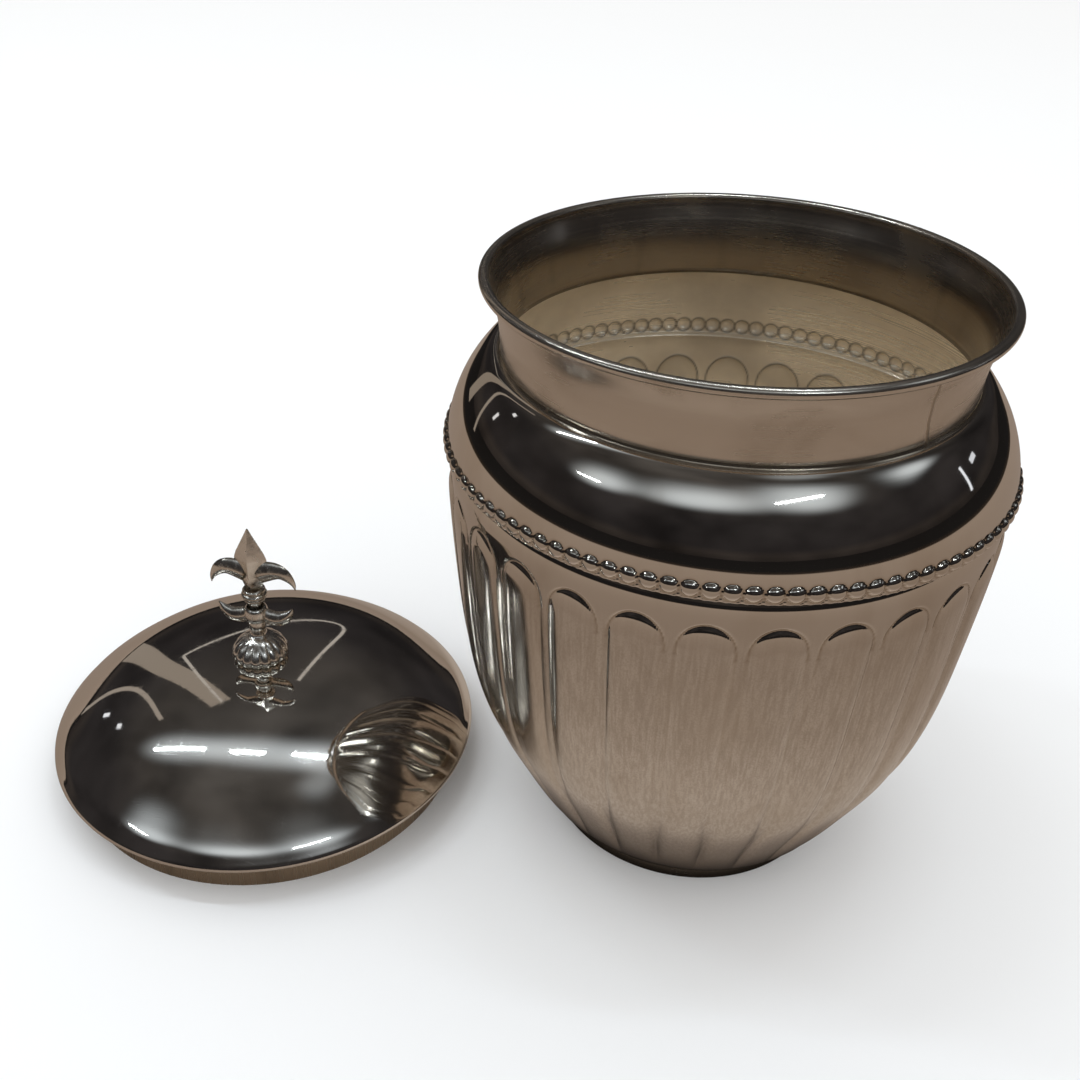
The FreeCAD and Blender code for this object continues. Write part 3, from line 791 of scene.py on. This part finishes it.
def make_flange():
    section = rounded([(FLANGE_RADIUS - SHEET, 0), (FLANGE_RADIUS, 0), (FLANGE_RADIUS, FLANGE_HEIGHT),
                       (FLANGE_RADIUS - SHEET, FLANGE_HEIGHT)], 0.3)
    lathe("lid_flange_strip", section, "lid", ["lid_flange"],
          [brushed_flange()], 720)


def make_mound(metal):
    """The hollow cap under the finial, with round lobes that fade out towards its top."""
    section = np.concatenate([spline(MOUND_POINTS, step=0.35), MOUND_HOLLOW])

    def lobes(angles, radii, heights):
        s = (angles * MOUND_LOBES / (2 * np.pi)) % 1 * 2 - 1
        flute = 1 - np.sqrt(1 - (0.94 * s) ** 2)
        z = heights - DOME_APEX
        outer = (radii > 3.5) * (radii > 10.25 - 0.6 * z)  # leaves the hollow round
        reach = smoothstep(*MOUND_FLUTE_TOP, z) * outer
        return -MOUND_FLUTE * flute * reach * np.clip(radii / 13.0, 0, 1)

    lathe("finial_mound_cast", section, "lid", ["finial_mound"], [metal], 480,
          lift=DOME_APEX, change=lobes)


def make_stem(metal):
    """The turned stem with its stud below and its pin above."""
    stud = [(STUD_RADIUS, STEM_TOP), (STUD_RADIUS, PIN_TOP), (AXIS_GAP, PIN_TOP),
            (AXIS_GAP, STUD_FOOT), (STUD_RADIUS, STUD_FOOT), (STUD_RADIUS, STEM_FOOT)]
    section = np.concatenate([spline(STEM_POINTS, step=0.3), stud])
    lathe("finial_stem_turned", section, "lid", ["finial_stem"], [metal], 96,
          lift=DOME_APEX, sharp=50)


def make_leaves(metal):
    """The pair of small leaves on the hub that goes round the stem."""
    around = 64
    points, faces = mirrored(*blade(LEAF_SPINE, LEAF_HALF, LEAF_DEPTH, LEAF_RIDGE))
    angles = np.linspace(0, 2 * np.pi, around, endpoint=False)
    hub_section = np.concatenate([spline(HUB_POINTS, step=0.4), [HUB_BORE]])
    hub_faces = grid_faces(len(hub_section), around, True) + len(points)
    points = np.concatenate([points, turn(hub_section, angles)])
    faces = triangles(np.concatenate([faces, hub_faces]))
    make_object("finial_leaves", turned_points(points), faces, "lid", ["leaf_pair"],
                [metal], sharp=60)


def make_band(metal):
    """The stack of round-edged rings over the leaves."""
    side = [(BAND_BORE, STEM_TOP)]
    for middle, half, radius in BAND_RINGS:
        side += list(arc((radius - half, middle), half, -90, 90, 12))
    side.append((BAND_BORE, BAND_TOP))
    lathe("finial_rings", side, "lid", ["collar_band"], [metal], 96,
          lift=DOME_APEX)


def make_fleur(metal):
    """The fleur-de-lis: a four-sided spear between two petals that curl down."""
    rings = []
    side = np.linspace(0, 1, FACET_PARTS + 1)[:-1]
    heights, half_widths, half_depths = np.transpose(SPEAR_SECTIONS)
    fine = np.append(np.arange(heights[0], heights[-1], SPEAR_STEP), heights[-1])
    widths = np.interp(fine, heights, half_widths)
    depths = np.interp(fine, heights, half_depths)
    corners = np.array([(1, 0), (0, 1), (-1, 0), (0, -1)], float)
    for z, w, d in zip(fine, widths, depths):
        ring_points = []
        for a, b in zip(corners, np.roll(corners, -1, 0)):
            for s in side:
                x, y = a * (1 - s) + b * s
                hollow = 1 - FACET_HOLLOW * math.sin(math.pi * s)
                ring_points.append((x * w * hollow, y * d * hollow, z))
        rings.append(ring_points)
    spear = np.array(rings).reshape(-1, 3)
    around = len(rings[0])
    faces = list(grid_faces(len(rings), around, False))
    low, high = len(spear), len(spear) + 1
    spear = np.concatenate([spear, [(0, 0, fine[0])], [(0, 0, fine[-1] + SPEAR_TIP)]])
    for k in range(around):
        faces.append([low, (k + 1) % around, k, low])
        row = (len(rings) - 1) * around
        faces.append([high, row + k, row + (k + 1) % around, high])
    petals, petal_faces = mirrored(*blade(PETAL_SPINE, PETAL_HALF, PETAL_DEPTH, PETAL_RIDGE))
    faces = np.concatenate([np.array([list(f) for f in faces]), petal_faces + len(spear)])
    points = np.concatenate([spear, petals])
    make_object("fleur_de_lis_cast", turned_points(points), triangles(faces), "lid",
                ["fleur_de_lis"], [metal], sharp=38)


make_wall()
make_neck()
make_foot()
make_dome()
make_flange()
finial_metal = cast()
make_mound(finial_metal)
make_stem(finial_metal)
make_leaves(finial_metal)
make_band(finial_metal)
make_fleur(finial_metal)


def dress(name, material):
    """Gives a CAD node that stays its own material."""
    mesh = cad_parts[name].data
    if not mesh.materials:
        mesh.materials.append(None)
    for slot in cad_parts[name].material_slots:
        slot.material = material


dress("rim_wire", dull("wire_steel", (0.45, 0.43, 0.4), 0.35, JAR_AXIS))
dress("base_disc", brushed_round("floor_satin", (0.5, 0.44, 0.36), 0.28, 0.6).done())
fastener = dull("fastener_plate", (0.6, 0.56, 0.48), 0.25, LID_AXIS)
dress("finial_washer", fastener)
dress("finial_nut", fastener)


# ---- stage, light and camera
FLOOR_HALF = 14.0
TABLE_PALE = (0.93, 0.93, 0.925)
# What the plated metal mirrors below the horizon, by distance from an object's axis in metres: a painted
# contact shadow close round the jar's foot, the table lighter just outside it and darker further out, then
# dark past its edge
TABLE_AND_SHADE_IN_METAL = [(0.064, (0.035, 0.029, 0.025)), (0.080, (0.36, 0.30, 0.26)), (0.095, (0.62, 0.53, 0.46)),
                  (0.20, (0.36, 0.29, 0.24)), (0.30, (0.265, 0.205, 0.165)), (1.15, (0.31, 0.245, 0.20)),
                  (1.2, (0.03, 0.022, 0.017)), (1.5, (0.012, 0.011, 0.011))]
# The dim room above it, by the sine of the elevation
ROOM_IN_METAL = [(0.0, (0.026, 0.022, 0.021)), (0.05, (0.034, 0.029, 0.027)), (0.12, (0.021, 0.019, 0.020)),
                 (0.45, (0.024, 0.022, 0.023)), (0.70, (0.045, 0.041, 0.039)), (1.0, (0.07, 0.066, 0.064))]


def ramp(tree, value, stops):
    """A colour from a value, by stops. It starts at 0 and ends at the last stop."""
    high = stops[-1][0]
    ranged = node(tree, "ShaderNodeMapRange")
    set_range(ranged, (0.0, high, 0.0, 1.0))
    tree.links.new(value, ranged.inputs["Value"])
    made = node(tree, "ShaderNodeValToRGB")
    elements = made.color_ramp.elements
    while len(elements) < len(stops):
        elements.new(0.5)
    for element, (place, colour) in zip(elements, stops):
        element.position = place / high
        element.color = (*colour, 1)
    tree.links.new(ranged.outputs["Result"], made.inputs["Fac"])
    return made.outputs["Color"]


def shown_or_mirrored(tree, shown, mirrored, output):
    """Puts one shader where the camera or the floor sees it and the other where the metal mirrors it."""
    path = node(tree, "ShaderNodeLightPath")
    mix = node(tree, "ShaderNodeMixShader")
    join(tree, (path.outputs["Is Glossy Ray"], mix.inputs["Fac"]), (shown.outputs[0], mix.inputs[1]),
         (mirrored.outputs[0], mix.inputs[2]), (mix.outputs[0], output.inputs["Surface"]))


def make_floor():
    """A pale floor, which the metal mirrors as a warmer and darker table with a painted contact shadow
    round the jar's foot.
    """
    size = FLOOR_HALF
    mesh = bpy.data.meshes.new("floor")
    corners = [(-size, -size, 0), (size, -size, 0), (size, size, 0), (-size, size, 0)]
    mesh.from_pydata(corners, [], [(0, 1, 2, 3)])
    floor = bpy.data.objects.new("floor", mesh)
    bpy.context.collection.objects.link(floor)
    material = bpy.data.materials.new("floor")
    material.use_nodes = True
    tree = material.node_tree
    tree.nodes.remove(tree.nodes["Principled BSDF"])
    pale = node(tree, "ShaderNodeBsdfDiffuse")
    pale.inputs["Color"].default_value = (*TABLE_PALE, 1)
    warm = node(tree, "ShaderNodeBsdfDiffuse")
    coordinates = node(tree, "ShaderNodeTexCoord")
    distance = node(tree, "ShaderNodeVectorMath", operation="LENGTH")
    # painted contact shadow: the mirrored table darkens close round the jar's axis
    join(tree, (coordinates.outputs["Object"], distance.inputs[0]),
         (ramp(tree, distance.outputs["Value"], TABLE_AND_SHADE_IN_METAL), warm.inputs["Color"]))
    shown_or_mirrored(tree, pale, warm, tree.nodes["Material Output"])
    mesh.materials.append(material)


def make_world():
    """Pale all round for the camera and the floor, a dim warm room for what the metal mirrors."""
    world = bpy.data.worlds.new("studio")
    bpy.context.scene.world = world
    world.use_nodes = True
    tree = world.node_tree
    tree.nodes.clear()
    output = node(tree, "ShaderNodeOutputWorld")
    pale = node(tree, "ShaderNodeBackground")
    pale.inputs["Color"].default_value = (1, 1, 1, 1)
    pale.inputs["Strength"].default_value = 0.98
    room = node(tree, "ShaderNodeBackground")
    coordinates = node(tree, "ShaderNodeTexCoord")
    split = node(tree, "ShaderNodeSeparateXYZ")
    noise = node(tree, "ShaderNodeTexNoise")
    noise.inputs["Scale"].default_value = 2.2
    noise.inputs["Detail"].default_value = 2.0
    cloud = node(tree, "ShaderNodeMapRange")
    set_range(cloud, (0.3, 0.7, 0.5, 1.6))
    join(tree, (coordinates.outputs["Generated"], split.inputs[0]),
         (coordinates.outputs["Generated"], noise.inputs["Vector"]),
         (noise.outputs["Fac"], cloud.inputs["Value"]), (cloud.outputs["Result"], room.inputs["Strength"]),
         (ramp(tree, split.outputs["Z"], ROOM_IN_METAL), room.inputs["Color"]))
    shown_or_mirrored(tree, pale, room, output)


def area_light(name, place, aim, width, height, radiance, colour):
    """A flat lamp, given by the brightness that a mirror shows of it."""
    data = bpy.data.lights.new(name, "AREA")
    data.shape = "RECTANGLE"
    data.size, data.size_y = width, height
    data.energy = radiance * width * height * math.pi
    data.color = colour
    lamp = bpy.data.objects.new(name, data)
    bpy.context.collection.objects.link(lamp)
    place = Vector(place)
    aimed = (Vector(aim) - place).to_track_quat("-Z", "Y")
    lamp.matrix_world = Matrix.Translation(place) @ aimed.to_matrix().to_4x4()
    return lamp


CEILING = 2.2
ROOM_REACH = 2.4  # how far off the soft boxes and the pale strips are
GLOW_STEP = 0.01  # glows lie one above another, or they would hide each other
TUBE_DROP = 0.02
TUBE_WIDTH = 0.06
TUBE_BRIGHTNESS = 30.0
TUBE_COLOUR = (0.80, 0.90, 1.0)
BOX_AIM = (0, 0, 0.2)
STRIP_EYE = Vector((LID_AXIS.x, LID_AXIS.y, 0.05))  # the strips are placed as seen from the lid


def make_lights():
    """A plain made-up room round the object: ceiling tubes and their glow, soft boxes and pale strips."""
    # ceiling tubes: x and y of the middle, length, turn in degrees
    tubes = [(-1.67, 0.045, 1.03, 3), (-0.58, 0.075, 0.44, 3), (0.29, 0.16, 0.60, 5),
             (-2.9, -2.0, 0.70, -35), (1.4, -1.9, 0.90, 40)]
    for k, (x, y, long, turn_by) in enumerate(tubes):
        tube = area_light(f"tube_{k}", (x, y, CEILING - TUBE_DROP), (x, y, 0), long, TUBE_WIDTH,
                          TUBE_BRIGHTNESS, TUBE_COLOUR)
        tube.rotation_euler = (0, 0, math.radians(turn_by))
    # their glow on the ceiling: x and y of the middle, half length, half width, brightness
    glows = [(-1.67, 0.045, 0.80, 0.30, 0.50), (-0.45, 0.09, 0.95, 0.30, 0.60),
             (0.55, 0.16, 0.60, 0.34, 0.55), (-2.50, -2.10, 0.90, 0.60, 0.8),
             (-0.30, -2.50, 1.20, 0.60, 0.8), (1.60, -1.90, 1.00, 0.70, 0.8),
             (0.75, -0.45, 0.35, 0.35, 0.25), (3.0, 0.10, 0.9, 0.7, 0.8)]
    for k, (x, y, half_length, half_width, brightness) in enumerate(glows):
        soft_glow(f"glow_{k}", (x, y, CEILING + k * GLOW_STEP), (half_length, half_width), brightness)
    # soft boxes round the room: azimuth from +X, elevation, width, height, brightness, colour
    boxes = [(14, 9, 0.05, 0.55, 1.3, (0.8, 0.87, 1)), (22, 12, 0.16, 0.10, 1.0, (0.8, 0.87, 1)),
             (168, 22, 0.08, 0.10, 1.2, (0.85, 0.9, 1)), (163, 12, 0.06, 0.16, 1.2, (0.85, 0.9, 1))]
    for k, (azimuth, elevation, width, height, radiance, colour) in enumerate(boxes):
        place = toward(azimuth, elevation, BOX_AIM)
        area_light(f"soft_box_{k}", place, BOX_AIM, width, height, radiance, colour)
    # pale frames and bands at the back left: azimuths and elevations from the lid, width, colour
    strips = [([(133, 28), (117, 26), (99, 20), (104, 50)], 0.035, (0.50, 0.47, 0.44)),
              ([(133, 28), (133, 41), (133, 54)], 0.03, (0.50, 0.47, 0.44)),
              ([(136, -14), (138, 0), (139, 14), (139, 29), (136, 42), (134, 54)], 0.24,
               (0.30, 0.26, 0.225)),
              ([(158, -14), (154, 2), (151, 16), (150, 27), (153, 37), (159, 45)], 0.07,
               (0.36, 0.32, 0.285))]
    for k, (directions, width, colour) in enumerate(strips):
        pale_strip(f"pale_strip_{k}", directions, width, colour)


def emitter(name, mesh):
    """A stage piece that only the metal mirrors, with its material's tree and emission node."""
    made = bpy.data.objects.new(name, mesh)
    bpy.context.collection.objects.link(made)
    material = bpy.data.materials.new(name)
    material.use_nodes = True
    tree = material.node_tree
    tree.nodes.remove(tree.nodes["Principled BSDF"])
    glow = node(tree, "ShaderNodeEmission")
    tree.links.new(glow.outputs[0], tree.nodes["Material Output"].inputs["Surface"])
    mesh.materials.append(material)
    made.visible_camera = False
    made.visible_diffuse = False
    made.visible_shadow = False
    return made, tree, glow


def soft_glow(name, place, reach, brightness):
    """A glow on the ceiling that fades to nothing. reach is its half length and half width."""
    mesh = bpy.data.meshes.new(name)
    x, y = reach[0] * 2, reach[1] * 2
    mesh.from_pydata([(-x, -y, 0), (x, -y, 0), (x, y, 0), (-x, y, 0)], [], [(0, 3, 2, 1)])
    made, tree, glow = emitter(name, mesh)
    glow.inputs["Color"].default_value = (*TUBE_COLOUR, 1)
    coordinates = node(tree, "ShaderNodeTexCoord")
    squeeze = node(tree, "ShaderNodeVectorMath", operation="MULTIPLY")
    squeeze.inputs[1].default_value = (1 / x, 1 / y, 0)
    length = node(tree, "ShaderNodeVectorMath", operation="LENGTH")
    fade = node(tree, "ShaderNodeMapRange", interpolation_type="SMOOTHERSTEP")
    set_range(fade, (0.0, 1.0, 1.0, 0.0))
    power = node(tree, "ShaderNodeMath", operation="POWER")
    power.inputs[1].default_value = 1.8
    strength = node(tree, "ShaderNodeMath", operation="MULTIPLY")
    strength.inputs[1].default_value = brightness
    clear = node(tree, "ShaderNodeBsdfTransparent")
    add = node(tree, "ShaderNodeAddShader")
    join(tree, (coordinates.outputs["Object"], squeeze.inputs[0]), (squeeze.outputs[0], length.inputs[0]),
         (length.outputs["Value"], fade.inputs["Value"]), (fade.outputs["Result"], power.inputs[0]),
         (power.outputs[0], strength.inputs[0]), (strength.outputs[0], glow.inputs["Strength"]),
         (glow.outputs[0], add.inputs[0]), (clear.outputs[0], add.inputs[1]),
         (add.outputs[0], tree.nodes["Material Output"].inputs["Surface"]))
    made.location = place


def toward(azimuth, elevation, start):
    """The place at the room's reach from start, azimuth and elevation in degrees."""
    a, e = math.radians(azimuth), math.radians(elevation)
    direction = Vector((math.cos(a) * math.cos(e), math.sin(a) * math.cos(e), math.sin(e)))
    return Vector(start) + ROOM_REACH * direction


def pale_strip(name, directions, width, colour):
    """A pale ribbon round the room that only the metal mirrors, along directions seen from the lid."""
    places = [toward(azimuth, elevation, STRIP_EYE) for azimuth, elevation in spline(directions, step=2.0)]
    points = []
    for k, place in enumerate(places):
        along = places[min(k + 1, len(places) - 1)] - places[max(k - 1, 0)]
        aside = along.cross(place - STRIP_EYE).normalized() * width / 2
        points += [place - aside, place + aside]
    mesh = bpy.data.meshes.new(name)
    quads = [(2 * k, 2 * k + 1, 2 * k + 3, 2 * k + 2) for k in range(len(places) - 1)]
    mesh.from_pydata(points, [], quads)
    *_, glow = emitter(name, mesh)
    glow.inputs["Color"].default_value = (*colour, 1)


# The photo's viewing angle, fitted to points measured on the object
CAMERA_PLACE = (0, -0.446836, 0.421440)
CAMERA_TURN = (31.979, 0.943, -11.397)  # degrees down, rolled, and to the side
CAMERA_LENS = 40.78
CAMERA_SHIFT = (0.0322, -0.0226)


def make_camera():
    pitch, roll, yaw = (math.radians(v) for v in CAMERA_TURN)
    forward = Vector((math.sin(yaw) * math.cos(pitch), math.cos(yaw) * math.cos(pitch), -math.sin(pitch)))
    right = Vector((math.cos(yaw), -math.sin(yaw), 0))
    up = right.cross(forward)
    across = math.cos(roll) * right + math.sin(roll) * up
    upward = -math.sin(roll) * right + math.cos(roll) * up
    data = bpy.data.cameras.new("camera")
    data.sensor_width = 36.0
    data.lens = CAMERA_LENS
    data.shift_x, data.shift_y = CAMERA_SHIFT
    data.clip_start, data.clip_end = 0.01, 60.0
    camera = bpy.data.objects.new("camera", data)
    bpy.context.collection.objects.link(camera)
    turn_to = Matrix((across, upward, -forward)).transposed().to_4x4()
    camera.matrix_world = Matrix.Translation(CAMERA_PLACE) @ turn_to
    bpy.context.scene.camera = camera


make_floor()
make_world()
make_lights()
make_camera()
bpy.context.scene.view_settings.view_transform = "Standard"
